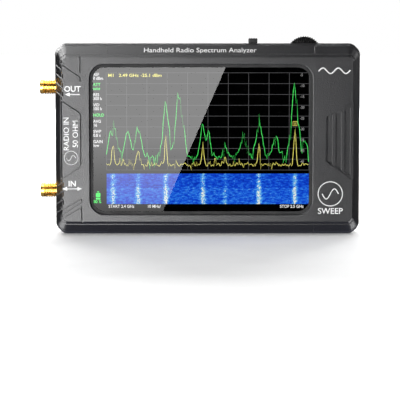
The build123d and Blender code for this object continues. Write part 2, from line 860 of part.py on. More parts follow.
def audio_jack():
    """Headphone socket, with its collar through the case top."""
    y = board_rear_y + audio_body / 2
    top = audio_bottom + audio_length
    mouth = body_height - audio_setback
    half = audio_body / 2
    body = block((audio_x - half, audio_x + half), (y - half, y + half), (audio_bottom, top))
    body += rod_z(audio_collar_radius, (top - 0.1, mouth), audio_x, y)
    return body - rod_z(audio_bore_radius, (audio_bottom + audio_floor, mouth + 1), audio_x, y)


def status_led():
    return chip(lamp_x, board_top - 2.0, 1.6, 0.8, 0.6)


def light_pipe():
    """Clear rod from the lamp to the case top, with a foot over the lamp."""
    y = parting_y + lamp_radius + 0.3
    rod = rod_z(lamp_radius, (board_top - 3.0, body_height), lamp_x, y)
    return rod + block((lamp_x - 1.6, lamp_x + 1.6), (y - 0.6, y + 1.4), (board_top - 3.6, board_top - 1.2))


def power_slider():
    """Finger nub, skirt under the case top, and a fork for the switch's lever."""
    half = nub_width / 2
    nub = block((power_x - half, power_x + half), (parting_y - nub_depth / 2, parting_y + nub_depth / 2),
                (skirt_top - 0.2, body_height + nub_height))
    nub = fillet(nub.edges().filter_by(Axis.Z) + nub.faces().sort_by(Axis.Z)[-1].edges(), nub_round)
    top = body_height + nub_height
    for shift in (-nub_groove_pitch, 0, nub_groove_pitch):
        x = (power_x + shift - nub_groove_width / 2, power_x + shift + nub_groove_width / 2)
        nub -= block(x, (parting_y - nub_depth, parting_y + nub_depth), (top - nub_groove_depth, top + 1))
    skirt_y = (parting_y - nub_depth / 2 - 0.6, parting_y - nub_depth / 2 - 0.6 + skirt_depth)
    slider = nub + block((power_x - skirt_reach, power_x + skirt_reach), skirt_y, (skirt_bottom, skirt_top))
    inner = lever_size / 2 + lever_gap
    for side in (-1, 1):
        x = sorted((power_x + side * inner, power_x + side * (inner + prong_thickness)))
        slider += block(x, (lever_y - 0.9, lever_y + 0.9), (skirt_bottom - prong_length, skirt_bottom + 0.2))
    return slider


def switch_top():
    return skirt_bottom - prong_length - 0.3


def power_lever():
    half = lever_size / 2
    return block((power_x - half, power_x + half), (lever_y - half, lever_y + half),
                 (switch_top() - 2.3, skirt_bottom - 0.3))


def power_switch_body():
    middle = power_x - power_travel / 2
    top = switch_top()
    body = block((middle - switch_width / 2, middle + switch_width / 2),
                 (board_rear_y, board_rear_y + switch_depth), (top - switch_height, top))
    room = lever_size / 2 + 0.2
    return body - block((power_x - power_travel - room, power_x + room), (lever_y - room, lever_y + room),
                        (top - 2.6, top + 1))


def jog_wheel():
    """Thumbwheel with fine teeth, turning on the axle."""
    step = 2 * math.pi / wheel_teeth
    rim = []
    for index in range(wheel_teeth):
        for share, radius in ((-0.28, wheel_radius), (0.28, wheel_radius), (0.5, wheel_radius - tooth_depth)):
            angle = (index + share) * step
            rim.append((wheel_x + radius * math.sin(angle), wheel_z + radius * math.cos(angle)))
    wheel = slab(make_face(Polyline(*rim, close=True)), (wheel_front_y, wheel_rear_y))
    return wheel - rod_y(axle_radius + axle_gap, (front_y, rear_y), wheel_x, wheel_z)


def jog_axle():
    """Headed pin through the wheel and the arm."""
    head = (wheel_front_y - axle_head_gap - axle_head_thickness, wheel_front_y - axle_head_gap)
    pin = rod_y(axle_radius, (head[1] - 0.1, carrier_rear_y), wheel_x, wheel_z)
    return pin + rod_y(axle_head_radius, head, wheel_x, wheel_z)


def jog_carrier():
    """Flat arm that holds the axle and slides in the switch body."""
    half = carrier_width / 2 - carrier_slack
    y = (carrier_front_y, carrier_rear_y)
    arm = block((wheel_x - half, wheel_x + half), y, (wheel_z - carrier_tail, wheel_z))
    arm += rod_y(carrier_round, y, wheel_x, wheel_z)
    return arm - rod_y(axle_radius, (front_y, rear_y), wheel_x, wheel_z)


def jog_switch_body():
    half, gap = jog_body_width / 2, carrier_side_gap
    body = block((wheel_x - half, wheel_x + half), (board_rear_y, board_rear_y + jog_body_depth),
                 (jog_body_top - jog_body_height, jog_body_top))
    slot_x = (wheel_x - carrier_width / 2 - gap, wheel_x + carrier_width / 2 + gap)
    slot_y = (carrier_front_y - gap, carrier_rear_y + gap)
    return body - block(slot_x, slot_y, (wheel_z - carrier_tail - press_travel - 0.2, jog_body_top + 1))


def battery_pack():
    """Flat lithium pouch on the rear wall."""
    rear = rear_y - rear_wall - pad_thickness
    x = (battery_x - battery_width / 2, battery_x + battery_width / 2)
    z = (battery_z - battery_height / 2, battery_z + battery_height / 2)
    pouch = block(x, (rear - battery_thickness, rear), z)
    return fillet(pouch.edges().filter_by(Axis.Z), battery_round)


def battery_pad():
    rear = rear_y - rear_wall
    x = (battery_x - battery_pad_width / 2, battery_x + battery_pad_width / 2)
    z = (battery_z - battery_pad_height / 2, battery_z + battery_pad_height / 2)
    return block(x, (rear - pad_thickness, rear), z)


def lead_route():
    """Right edge of the battery, wire depth there, wire depth at the plug, and the plug's left side."""
    edge = battery_x + battery_width / 2
    return edge, rear_y - rear_wall - pad_thickness - battery_thickness / 2, board_rear_y + 2.0, edge + 5.5


def battery_leads():
    """Two short wires from the battery down to its plug."""
    edge, high, low, plug = lead_route()
    leads = []
    for index in (-1, 1):
        z = battery_z - 10 + index * lead_pitch / 2
        bend = (edge + plug) / 2
        path = FilletPolyline((edge, high, z), (bend, high, z), (bend, low, z), (plug, low, z), radius=1.3)
        leads.append(sweep(Plane(origin=(edge, high, z), z_dir=(1, 0, 0)) * Circle(lead_radius), path=path))
    return leads


def battery_plug():
    edge, high, low, plug = lead_route()
    return block((plug, plug + 4.5), (low - 1.5, low + 1.5), (battery_z - 13.5, battery_z - 6.5))


def battery_header():
    edge, high, low, plug = lead_route()
    return block((plug + 4.5, plug + 8.5), (board_rear_y, low + 2.0), (battery_z - 14.5, battery_z - 5.5))


def write(name, shape):
    """Writes one node, from one solid or a list of them."""
    solids = shape if isinstance(shape, list) else [shape]
    solids = [solid for part in solids for solid in part.solids()]
    export_step(solids[0] if len(solids) == 1 else Compound(children=solids), f"parts/{name}.step")


single = [front_shell, rear_shell, case_screws, threaded_inserts, board_screws, glass_gasket, cover_glass,
          lcd_cell, light_guide, backlight_tray, display_pads, display_flex, touch_flex, fpc_connectors,
          main_board, rf_chips, logic_chips, power_coils, reference_oscillator, usb_shell, usb_tongue,
          microsd_socket, audio_jack, status_led, light_pipe, power_slider, power_lever, power_switch_body,
          jog_wheel, jog_axle, jog_carrier, jog_switch_body, battery_pack, battery_pad, battery_leads,
          battery_plug, battery_header]
os.makedirs("parts", exist_ok=True)
for make in single:
    write(make.__name__, make())
for jack, height in jacks().items():
    write(jack + "_body", sma_body(height))
    write(jack + "_dielectric", sma_dielectric(height))
    write(jack + "_contact", sma_contact(height))
for can, height in shields().items():
    write(can, shield(height))
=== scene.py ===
import math
import random
import bpy
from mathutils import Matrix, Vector, noise


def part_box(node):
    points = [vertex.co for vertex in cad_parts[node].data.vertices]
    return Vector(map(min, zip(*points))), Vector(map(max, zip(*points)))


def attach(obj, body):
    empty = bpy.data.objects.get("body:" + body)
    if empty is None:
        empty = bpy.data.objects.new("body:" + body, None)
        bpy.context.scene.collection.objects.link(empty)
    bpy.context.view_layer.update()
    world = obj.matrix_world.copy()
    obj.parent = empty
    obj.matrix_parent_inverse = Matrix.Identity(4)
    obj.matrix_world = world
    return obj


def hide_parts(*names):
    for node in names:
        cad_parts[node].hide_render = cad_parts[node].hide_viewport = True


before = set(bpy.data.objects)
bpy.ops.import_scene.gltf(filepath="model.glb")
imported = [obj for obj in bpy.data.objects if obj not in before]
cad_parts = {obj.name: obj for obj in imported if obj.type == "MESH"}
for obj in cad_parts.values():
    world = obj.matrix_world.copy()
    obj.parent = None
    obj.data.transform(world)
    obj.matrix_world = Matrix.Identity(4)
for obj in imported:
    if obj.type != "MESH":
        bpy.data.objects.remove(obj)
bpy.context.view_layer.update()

mm = 0.001
random.seed(11)

# The places that everything is measured from
caseFrontLow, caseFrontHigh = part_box("front_shell")
glassLow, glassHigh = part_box("cover_glass")
wheelLow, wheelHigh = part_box("jog_wheel")
faceY = caseFrontLow.y
caseLeft, caseRight = caseFrontLow.x, caseFrontHigh.x
caseTop = caseFrontHigh.z
middleZ = caseTop / 2


def toLinear(hexCode):
    parts = [int(hexCode[i:i + 2], 16) / 255 for i in (1, 3, 5)]
    return tuple(p / 12.92 if p <= 0.04045 else ((p + 0.055) / 1.055) ** 2.4 for p in parts) + (1.0,)


def addNode(tree, kind, settings={}, links={}):
    # adds one node, sets its values and connects what feeds it
    node = tree.nodes.new(kind)
    for name, value in settings.items():
        if isinstance(name, int) or name in node.inputs:
            node.inputs[name].default_value = value
        else:
            setattr(node, name, value)
    for name, source in links.items():
        tree.links.new(source, node.inputs[name])
    return node


def setRamp(node, stops):
    ramp = node.color_ramp
    while len(ramp.elements) < len(stops):
        ramp.elements.new(0.5)
    for element, (place, hexCode) in zip(ramp.elements, stops):
        element.position = place
        element.color = toLinear(hexCode)


def newShader(name):
    material = bpy.data.materials.new(name)
    material.use_nodes = True
    return material, material.node_tree, material.node_tree.nodes["Principled BSDF"]


def makeFinish(name, look):
    # one opaque finish: fine grain that shades colour and lifts the surface, and wide uneven gloss
    material, tree, shader = newShader(name)
    place = addNode(tree, "ShaderNodeTexCoord")
    stretch = look.get("stretch", (1, 1, 1))
    turned = addNode(tree, "ShaderNodeMapping", {"Scale": stretch}, {"Vector": place.outputs["Object"]})
    grain = addNode(tree, "ShaderNodeTexNoise",
                    {"Scale": 1 / (look["grainMm"] * mm), "Detail": look.get("detail", 2.0)},
                    {"Vector": turned.outputs[0]})
    cloud = addNode(tree, "ShaderNodeTexNoise", {"Scale": 1 / (look.get("cloudMm", 20) * mm), "Detail": 2.0},
                    {"Vector": place.outputs["Object"]})
    colour = addNode(tree, "ShaderNodeValToRGB", {}, {"Fac": grain.outputs["Fac"]})
    setRamp(colour, [(0.3, look["dark"]), (0.7, look["light"])])
    rough = addNode(tree, "ShaderNodeMapRange", {"From Min": 0.3, "From Max": 0.7, "To Min": look["rough"][0],
                                                 "To Max": look["rough"][1]}, {"Value": cloud.outputs["Fac"]})
    # a moulding's or casting's edges are never sharp, so they catch the light as a small radius does
    edge = addNode(tree, "ShaderNodeBevel", {"Radius": look.get("edgeMm", 0.05) * mm, "samples": 6})
    bump = addNode(tree, "ShaderNodeBump", {"Strength": look.get("bump", 0.5), "Distance": look["depthMm"] * mm},
                   {"Height": grain.outputs["Fac"], "Normal": edge.outputs["Normal"]})
    tree.links.new(colour.outputs["Color"], shader.inputs["Base Color"])
    tree.links.new(rough.outputs["Result"], shader.inputs["Roughness"])
    tree.links.new(bump.outputs["Normal"], shader.inputs["Normal"])
    shader.inputs["Metallic"].default_value = look.get("metal", 0.0)
    if not look.get("metal"):
        shader.inputs["IOR"].default_value = look.get("ior", 1.5)
    shader.inputs["Specular IOR Level"].default_value = look.get("mirror", 0.5)
    shader.inputs["Coat Weight"].default_value = look.get("coat", 0.0)
    shader.inputs["Subsurface Weight"].default_value = look.get("milky", 0.0)
    shader.inputs["Subsurface Scale"].default_value = 0.5 * mm
    return material


def makeGlow(name, look):
    # a lit part of the picture: steady light with a faint cell pattern
    material, tree, shader = newShader(name)
    place = addNode(tree, "ShaderNodeTexCoord")
    cells = addNode(tree, "ShaderNodeTexNoise", {"Scale": 1 / (look["grainMm"] * mm), "Detail": 1.0},
                    {"Vector": place.outputs["Object"]})
    colour = addNode(tree, "ShaderNodeValToRGB", {}, {"Fac": cells.outputs["Fac"]})
    setRamp(colour, [(0.35, look["dark"]), (0.65, look["light"])])
    tree.links.new(colour.outputs["Color"], shader.inputs["Emission Color"])
    shader.inputs["Emission Strength"].default_value = look.get("strength", 1.0)
    shader.inputs["Base Color"].default_value = toLinear("#000000")
    shader.inputs["Specular IOR Level"].default_value = 0.0
    material.cycles.emission_sampling = "NONE"   # the picture is seen, but it isn't a lamp
    return material


# Each finish starts from what the real one is. Grain is in millimetres.
finishes = {
    # Spark-eroded tool texture, 0.1 mm in life and drawn at 0.5 mm so that it shows: matt with a broad sheen
    "mouldedAbs": {"dark": "#0d0d0f", "light": "#1d1d20", "grainMm": 0.5, "depthMm": 0.08, "bump": 1.0,
                   "rough": (0.33, 0.40), "cloudMm": 25, "edgeMm": 0.11},
    # Moulded in a polished tool, then handled: darker and smoother than the case
    "mouldedNylon": {"dark": "#080809", "light": "#101011", "grainMm": 0.6, "depthMm": 0.015, "rough": (0.40, 0.5),
                     "mirror": 0.25, "cloudMm": 3, "edgeMm": 0.12},
    # Turned brass with hard gold over nickel: fine rings round the barrel, warm in the shade
    "turnedGoldPlate": {"dark": "#d9a441", "light": "#f2cf74", "grainMm": 0.25, "depthMm": 0.006, "metal": 1.0,
                        "rough": (0.20, 0.32), "cloudMm": 2, "stretch": (6, 0.4, 0.4)},
    # Machined PTFE: waxy white that lets a little light in
    "machinedPtfe": {"dark": "#dedbd2", "light": "#f4f2ea", "grainMm": 0.3, "depthMm": 0.004, "rough": (0.35, 0.5),
                     "ior": 1.35, "milky": 0.3, "cloudMm": 1.5},
    # Machined brass of the screw inserts
    "machinedBrass": {"dark": "#a8813a", "light": "#c9a457", "grainMm": 0.3, "depthMm": 0.01, "metal": 1.0,
                      "rough": (0.25, 0.4), "cloudMm": 2},
    # Black oxide on steel screws: dark, with a thin oily shine
    "blackenedSteel": {"dark": "#1b1b1d", "light": "#3a3a3d", "grainMm": 0.2, "depthMm": 0.008, "metal": 1.0,
                       "rough": (0.35, 0.5), "cloudMm": 1.2},
    # Rolled stainless sheet of the socket shells: grain runs one way
    "rolledSteel": {"dark": "#8d8f92", "light": "#b9bbbe", "grainMm": 0.3, "depthMm": 0.003, "metal": 1.0,
                    "rough": (0.22, 0.34), "cloudMm": 4, "stretch": (8, 8, 0.5)},
    # Tinned steel of the shield cans and the display tray
    "tinnedSteel": {"dark": "#9c9ea0", "light": "#c6c8c9", "grainMm": 0.8, "depthMm": 0.004, "metal": 1.0,
                    "rough": (0.28, 0.45), "cloudMm": 6},
    # Black solder mask over glass-fibre laminate, with the weave just showing
    "maskedLaminate": {"dark": "#0c120f", "light": "#16231b", "grainMm": 0.5, "depthMm": 0.006, "rough": (0.25, 0.4),
                       "coat": 0.3, "cloudMm": 8},
    # Filled epoxy of the chips
    "mouldedEpoxy": {"dark": "#121214", "light": "#202023", "grainMm": 0.15, "depthMm": 0.006, "rough": (0.5, 0.62),
                     "cloudMm": 3},
    # Glass-filled liquid crystal polymer of the sockets
    "mouldedLcp": {"dark": "#0e0e0f", "light": "#1b1b1c", "grainMm": 0.2, "depthMm": 0.008, "rough": (0.4, 0.55),
                   "cloudMm": 3},
    # Amber polyimide film of the flexes
    "polyimideFilm": {"dark": "#8a5a12", "light": "#b27a22", "grainMm": 0.4, "depthMm": 0.003, "rough": (0.25, 0.4),
                      "cloudMm": 5},
    # Closed-cell foam of the gasket and pads
    "closedCellFoam": {"dark": "#101011", "light": "#1f1f20", "grainMm": 0.25, "depthMm": 0.03, "rough": (0.8, 0.95),
                       "cloudMm": 5},
    # Aluminium laminate of the battery pouch
    "pouchFoil": {"dark": "#a4a6a8", "light": "#c9cbcd", "grainMm": 1.2, "depthMm": 0.02, "metal": 1.0,
                  "rough": (0.3, 0.45), "cloudMm": 10},
    # Extruded PVC on the battery's wires
    "extrudedPvc": {"dark": "#8e1512", "light": "#b2201b", "grainMm": 0.5, "depthMm": 0.004, "rough": (0.35, 0.5),
                    "cloudMm": 4},
    # Screen-printed ink: flat white with a slightly broken edge
    "screenPrintInk": {"dark": "#dcdcdc", "light": "#f6f6f6", "grainMm": 0.2, "depthMm": 0.006, "rough": (0.5, 0.65),
                       "cloudMm": 4, "edgeMm": 0.0},
    # Switched-off liquid crystal between polarisers: almost black
    "polarisedCell": {"dark": "#010101", "light": "#030303", "grainMm": 0.4, "depthMm": 0.002, "rough": (0.45, 0.6),
                      "mirror": 0.0, "cloudMm": 20},
}

# The lit colours of the picture
glows = {
    "litGrid": {"dark": "#48484a", "light": "#58585a", "grainMm": 0.6},
    "litGrey": {"dark": "#8a8a8a", "light": "#a8a8a8", "grainMm": 0.5},
    "litGreen": {"dark": "#22b040", "light": "#4cdc62", "grainMm": 0.5, "strength": 1.9},
    "litYellow": {"dark": "#cbc24a", "light": "#e8e27a", "grainMm": 0.5, "strength": 1.5},
    "litWhite": {"dark": "#c8c8c8", "light": "#eaeaea", "grainMm": 0.5, "strength": 1.3},
}
materials = {name: makeFinish(name, look) for name, look in finishes.items()}
materials.update({name: makeGlow(name, look) for name, look in glows.items()})


def makeClear(name, look):
    # clear glass or acrylic: light passes, with a hard coat that mirrors a little more than bare glass
    material, tree, shader = newShader(name)
    place = addNode(tree, "ShaderNodeTexCoord")
    smear = addNode(tree, "ShaderNodeTexNoise", {"Scale": 1 / (look["smearMm"] * mm), "Detail": 3.0},
                    {"Vector": place.outputs["Object"]})
    rough = addNode(tree, "ShaderNodeMapRange", {"From Min": 0.35, "From Max": 0.75, "To Min": look["rough"][0],
                                                 "To Max": look["rough"][1]}, {"Value": smear.outputs["Fac"]})
    tree.links.new(rough.outputs["Result"], shader.inputs["Roughness"])
    shader.inputs["Base Color"].default_value = toLinear(look["colour"])
    shader.inputs["Transmission Weight"].default_value = 1.0
    shader.inputs["IOR"].default_value = look["ior"]
    shader.inputs["Specular IOR Level"].default_value = look["mirror"]
    shader.inputs["Coat Weight"].default_value = look["coat"]
    shader.inputs["Coat IOR"].default_value = 1.6
    shader.inputs["Coat Roughness"].default_value = 0.0
    return material


# Toughened glass with a hard coat, polished; a faint smear only changes its gloss
materials["toughenedGlass"] = makeClear("toughenedGlass", {"smearMm": 12, "rough": (0.0, 0.0), "colour": "#ffffff",
                                                           "ior": 1.52, "mirror": 0.9, "coat": 1.0})
# Moulded clear acrylic of the lamp's light pipe
materials["mouldedAcrylic"] = makeClear("mouldedAcrylic", {"smearMm": 2, "rough": (0.08, 0.2), "colour": "#e9f1ee",
                                                           "ior": 1.49, "mirror": 0.5, "coat": 0.0})

# Which finish each carried-over node gets
nodeFinishes = {
    "mouldedAbs": ["front_shell", "rear_shell"],
    "mouldedNylon": ["power_slider", "power_lever", "jog_carrier"],
    "machinedPtfe": ["sma_input_dielectric", "sma_cal_dielectric"],
    "turnedGoldPlate": ["sma_input_contact", "sma_cal_contact"],
    "machinedBrass": ["threaded_inserts"],
    "blackenedSteel": ["case_screws", "board_screws", "jog_axle"],
    "rolledSteel": ["usb_shell"],
    "tinnedSteel": ["shield_input", "shield_cal", "backlight_tray", "reference_oscillator"],
    "maskedLaminate": ["main_board"],
    "mouldedEpoxy": ["rf_chips", "logic_chips", "power_coils"],
    "mouldedLcp": ["usb_tongue", "microsd_socket", "audio_jack", "fpc_connectors", "power_switch_body",
                   "jog_switch_body", "battery_plug", "battery_header"],
    "polyimideFilm": ["display_flex", "touch_flex"],
    "closedCellFoam": ["glass_gasket", "display_pads", "battery_pad"],
    "pouchFoil": ["battery_pack"],
    "extrudedPvc": ["battery_leads"],
    "polarisedCell": ["lcd_cell"],
    "toughenedGlass": ["cover_glass"],
    "mouldedAcrylic": ["light_pipe", "light_guide", "status_led"],
}
for finish, names in nodeFinishes.items():
    for name in names:
        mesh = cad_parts[name].data
        mesh.materials.clear()
        mesh.materials.append(materials[finish])
print("finishes made:", len(materials))


def deselectAll():
    if bpy.context.object and bpy.context.object.mode != "OBJECT":
        bpy.ops.object.mode_set(mode="OBJECT")
    bpy.ops.object.select_all(action="DESELECT")


def finishPiece(piece, name, finish, body="case"):
    # puts the piece's place in its mesh, names it and lets it ride
    deselectAll()
    piece.select_set(True)
    bpy.context.view_layer.objects.active = piece
    bpy.ops.object.transform_apply(location=True, rotation=True, scale=True)
    piece.name = name
    piece.data.name = name
    piece.data.materials.clear()
    piece.data.materials.append(materials[finish])
    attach(piece, body)
    return piece


def joinPieces(pieces):
    deselectAll()
    for piece in pieces:
        piece.select_set(True)
    bpy.context.view_layer.objects.active = pieces[0]
    bpy.ops.object.join()
    return bpy.context.object


def selectFaces(piece, test):
    # chooses faces in edit mode by a test on each face's middle and normal
    bpy.ops.object.mode_set(mode="OBJECT")
    for face in piece.data.polygons:
        face.select = test(face.center, face.normal)
    for edge in piece.data.edges:
        edge.select = False
    bpy.ops.object.mode_set(mode="EDIT")
    bpy.ops.mesh.select_mode(type="FACE")


def flatPlate(width, height, x, z, front, thickness, corner=0.0):
    # an upright plate with rounded corners, facing the front
    deselectAll()
    bpy.ops.mesh.primitive_plane_add(size=1, location=(x, front, z), rotation=(math.pi / 2, 0, 0))
    plate = bpy.context.object
    plate.scale = (width, height, 1)
    bpy.ops.object.transform_apply(location=True, rotation=True, scale=True)
    bpy.ops.object.mode_set(mode="EDIT")
    bpy.ops.mesh.select_all(action="SELECT")
    if corner:
        bpy.ops.mesh.bevel(offset=corner, segments=10, affect="VERTICES")
        bpy.ops.mesh.select_all(action="SELECT")
    bpy.ops.mesh.extrude_region_move(TRANSFORM_OT_translate={"value": (0, thickness, 0)})
    bpy.ops.mesh.select_all(action="SELECT")
    bpy.ops.mesh.normals_make_consistent(inside=False)
    bpy.ops.object.mode_set(mode="OBJECT")
    return plate


def drawLine(points, width, front, thickness, closed=False):
    # a flat ribbon through points (x, z), facing the front
    deselectAll()
    curve = bpy.data.curves.new("line", "CURVE")
    curve.dimensions = "3D"
    curve.bevel_depth = width / 2
    curve.bevel_resolution = 0
    curve.use_fill_caps = True
    spline = curve.splines.new("POLY")
    spline.points.add(len(points) - 1)
    spline.use_cyclic_u = closed
    for point, (x, z) in zip(spline.points, points):
        point.co = (x, 0, z, 1)
    line = bpy.data.objects.new("line", curve)
    bpy.context.collection.objects.link(line)
    line.select_set(True)
    bpy.context.view_layer.objects.active = line
    bpy.ops.object.convert(target="MESH")
    line = bpy.context.object
    line.scale = (1, thickness / width, 1)
    line.location.y = front + thickness / 2
    bpy.ops.object.transform_apply(location=True, rotation=True, scale=True)
    return line


def writeWords(words, height, x, y, z, thickness, tilt=90, turn=0, align="CENTER", bold=0.0, wide=1.0):
    # raised lettering; tilt 90 stands it up to face the front, turn swings it within its plane
    deselectAll()
    bpy.ops.object.text_add(location=(x, y, z), rotation=(math.radians(tilt), math.radians(-turn), 0))
    label = bpy.context.object
    label.data.body = words
    label.data.size = height / 0.7            # the built-in face's capitals are 0.7 of its size
    label.data.align_x = align
    label.data.align_y = "CENTER"
    label.data.extrude = thickness / 2
    label.data.offset = bold
    label.data.resolution_u = 5
    label.scale = (wide, 1, 1)
    bpy.ops.object.convert(target="MESH")
    label = bpy.context.object
    bpy.ops.object.transform_apply(location=True, rotation=True, scale=True)
    return label


# The lit picture behind the glass
screen = {
    "columns": 480, "rows": 320,                      # the panel's own dots
    "border": (2.35 * mm, 2.5 * mm),                  # from the glass's edge to the picture
    "layer": 0.02 * mm,                               # each layer stands this far in front of the last
    "gridLeft": 30, "gridTop": 12, "gridFoot": 228, "divisions": (10, 9), "fallTop": 236, "fallFoot": 304,
    "lineWidth": 0.2 * mm, "gridWidth": 0.2 * mm, "drop": 26, "spike": 12,
    "letter": 6.6, "bold": 0.028 * mm,
    "greenFloor": 200, "yellowFloor": 216,
    "signals": 14, "tallest": 140, "smallest": 0.3, "signalWidths": (6, 12), "sweepShare": 0.6, "sweepWidth": 3,
    "dropGrowth": 0.15, "spikeShare": 0.18, "shakeGrowth": 0.2, "shakeShare": 0.6,   # how a trace roughens
    "linePitch": 8.5, "groupPitch": 14, "footRow": 309.5, "headRow": 18, "chargeRow": 299,
}
pictureLeft, pictureHigh = glassLow.x + screen["border"][0], glassHigh.z - screen["border"][1]
dotX = (glassHigh.x - screen["border"][0] - pictureLeft) / screen["columns"]
dotZ = (pictureHigh - glassLow.z - screen["border"][1]) / screen["rows"]
backLayer = glassHigh.y - 3 * screen["layer"]
divisionX = (screen["columns"] - screen["gridLeft"]) / screen["divisions"][0]
divisionZ = (screen["gridFoot"] - screen["gridTop"]) / screen["divisions"][1]


def atDot(column, row):
    return pictureLeft + column * dotX, pictureHigh - row * dotZ


def layerFront(number):
    return backLayer - number * 2 * screen["layer"]


def drawSignals():
    # made-up signals: one to each equal share of the sweep, most of them small; column, height and width in dots
    share = (screen["columns"] - screen["gridLeft"]) / screen["signals"]
    return [(screen["gridLeft"] + (index + random.random()) * share,
             screen["tallest"] * random.uniform(screen["smallest"], 1) ** 2,
             random.uniform(*screen["signalWidths"])) for index in range(screen["signals"])]


def signalAt(column, peaks):
    return max(height * math.exp(-((column - peak) / width) ** 2) for peak, height, width in peaks)


def makeScreenBack():
    # the dark cell, a little larger than the picture, so that no gap shows at the frame
    spare = 3 * mm
    width, height = screen["columns"] * dotX + spare, screen["rows"] * dotZ + spare
    x, z = atDot(screen["columns"] / 2, screen["rows"] / 2)
    plate = flatPlate(width, height, x, z, layerFront(0), screen["layer"], spare)
    finishPiece(plate, "screen_panel", "polarisedCell")


def makeGrid():
    lines = []
    right = screen["columns"] - 1
    for index in range(screen["divisions"][0] + 1):
        column = min(screen["gridLeft"] + index * divisionX, right)
        x, high = atDot(column, screen["gridTop"])
        low = atDot(column, screen["gridFoot"])[1]
        lines.append(flatPlate(screen["gridWidth"], high - low, x, (high + low) / 2, layerFront(2),
                               screen["layer"]))
    for index in range(screen["divisions"][1] + 1):
        x, z = atDot((screen["gridLeft"] + right) / 2, screen["gridTop"] + index * divisionZ)
        width = (right - screen["gridLeft"]) * dotX
        lines.append(flatPlate(width, screen["gridWidth"], x, z, layerFront(2), screen["layer"]))
    finishPiece(joinPieces(lines), "screen_grid", "litGrid")


def makeTrace(name, peaks, floor, jitter, dropShare, layer, finish):
    # one sweep: peaks over a noisy floor, rougher where the signal is high, with a sharp drop now and then
    points = []
    for column in range(screen["gridLeft"], screen["columns"], 2):
        signal = signalAt(column, peaks)
        drop = (screen["drop"] + screen["dropGrowth"] * signal) * random.random() * (random.random() < dropShare)
        spike = screen["spike"] * random.random() * (random.random() < screen["spikeShare"])
        shake = jitter + screen["shakeGrowth"] * signal * (random.random() < screen["shakeShare"])
        row = min(floor - signal + random.uniform(-shake, shake) + drop - spike, screen["gridFoot"])
        points.append(atDot(column, row))
    line = drawLine(points, screen["lineWidth"], layerFront(layer), screen["layer"])
    finishPiece(line, name, finish)


def makeWaterfall():
    # the history of sweeps: one cell per dot pair, coloured from the signal that it holds
    left, high = atDot(screen["gridLeft"], screen["fallTop"])
    right, low = atDot(screen["columns"] - 1, screen["fallFoot"])
    cells = (224, 34)
    deselectAll()
    bpy.ops.mesh.primitive_grid_add(x_subdivisions=cells[0], y_subdivisions=cells[1], size=1,
                                    location=((left + right) / 2, layerFront(1), (low + high) / 2),
                                    rotation=(math.pi / 2, 0, 0))
    fall = bpy.context.object
    fall.scale = (right - left, high - low, 1)
    bpy.ops.object.transform_apply(location=True, rotation=True, scale=True)
    bands = [(column, min(height / 60, 0.85), 5) for column, height, width in liveSignals]
    values = []
    for face in fall.data.polygons:
        column = (face.center.x - pictureLeft) / dotX
        row = (pictureHigh - face.center.z) / dotZ
        newer = row > screen["fallTop"] + 0.47 * (screen["fallFoot"] - screen["fallTop"])
        broad = noise.noise(Vector((column * 0.16, row * 0.45, 0.5)))
        fine = noise.noise(Vector((column * 0.4, row, 3)))
        speck = broad + 0.6 * fine
        base = 0.32 + 0.07 * newer + 0.24 * speck
        band = signalAt(column, bands) * (0.75 + 0.35 * newer)
        flicker = 0.55 + 0.9 * noise.noise(Vector((column * 0.5, row * 0.9, 9)))
        values += [base + band * max(0.0, flicker)] * len(face.loop_indices)
    signal = fall.data.attributes.new("signal", "FLOAT", "CORNER")
    signal.data.foreach_set("value", values)
    material, tree, shader = newShader("litWaterfall")
    stored = addNode(tree, "ShaderNodeAttribute", {"attribute_name": "signal"})
    palette = addNode(tree, "ShaderNodeValToRGB", {}, {"Fac": stored.outputs["Fac"]})
    setRamp(palette, [(0.1, "#0726a0"), (0.32, "#0f46d4"), (0.5, "#2b7cea"), (0.72, "#74c4f0"), (0.95, "#fdfbe6")])
    tree.links.new(palette.outputs["Color"], shader.inputs["Emission Color"])
    shader.inputs["Emission Strength"].default_value = 1.0
    shader.inputs["Base Color"].default_value = toLinear("#000000")
    shader.inputs["Specular IOR Level"].default_value = 0.0
    material.cycles.emission_sampling = "NONE"
    materials["litWaterfall"] = material
    finishPiece(fall, "screen_waterfall", "litWaterfall")


